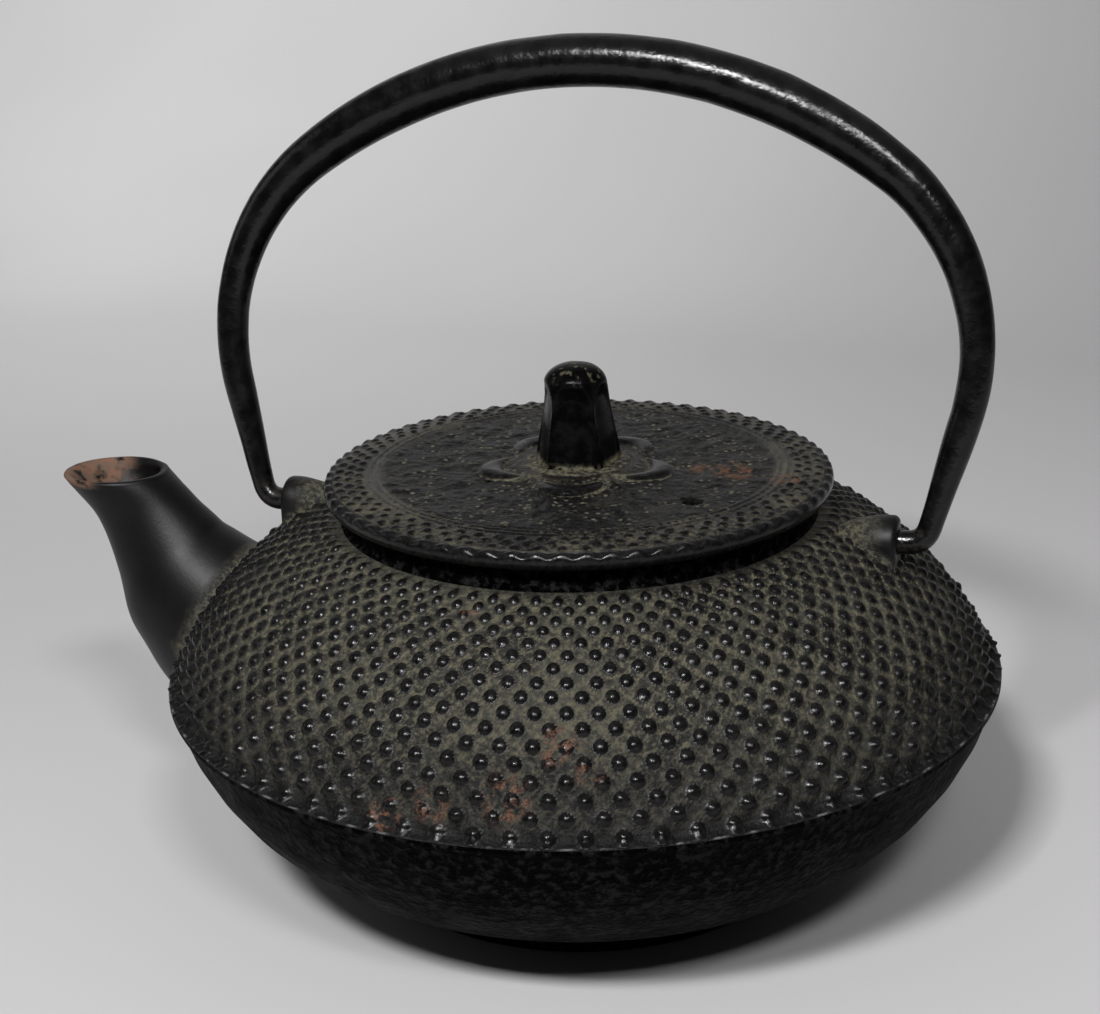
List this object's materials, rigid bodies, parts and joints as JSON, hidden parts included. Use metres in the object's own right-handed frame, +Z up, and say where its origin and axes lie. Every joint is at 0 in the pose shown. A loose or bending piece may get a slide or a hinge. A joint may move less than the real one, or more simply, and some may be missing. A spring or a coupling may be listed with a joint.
{
  "type": "cast iron teapot",
  "caption": "Squat round cast iron teapot with a hobnailed shoulder, short spout, flat lid with a fluted knob, overhead bail handle and a lift-out strainer basket.",
  "frame": {"origin": "middle of the flat base, on the surface that the pot stands on", "axes": "+Z up, -X towards the spout, X along the line of the bail's pivots"},
  "size_m": [0.1431, 0.12, 0.1181],
  "materials": {
    "pot_iron": "satin black-brown casting, dust in the recesses",
    "lid_iron": "satin black pitted casting",
    "knob_iron": "handled black, half gloss",
    "bail_lacquer": "gloss black lacquer",
    "strainer_steel": "brushed"
  },
  "bodies": {
    "pot": {"pot_body": "pot_iron"},
    "bail": {"bail_handle": "bail_lacquer"},
    "infuser": {"infuser_rim": "strainer_steel", "infuser_wall": "strainer_steel", "infuser_base": "strainer_steel"},
    "lid": {"lid": "lid_iron", "knob_seat": "lid_iron", "knob": "knob_iron", "knob_washer": "strainer_steel"}
  },
  "joints": [
    {"name": "bail_swing", "type": "hinge", "parent": "pot", "child": "bail", "pos_m": [0, 0, 0.051], "axis": [1, 0, 0], "range_deg": [-93.8, 114]},
    {"name": "infuser_lift", "type": "slide", "parent": "pot", "child": "infuser", "axis": [0, 0, 1], "range_m": [0, 0.038]},
    {"name": "lid_lift", "type": "slide", "parent": "infuser", "child": "lid", "axis": [0, 0, 1], "range_m": [0, 0.038]}
  ]
}
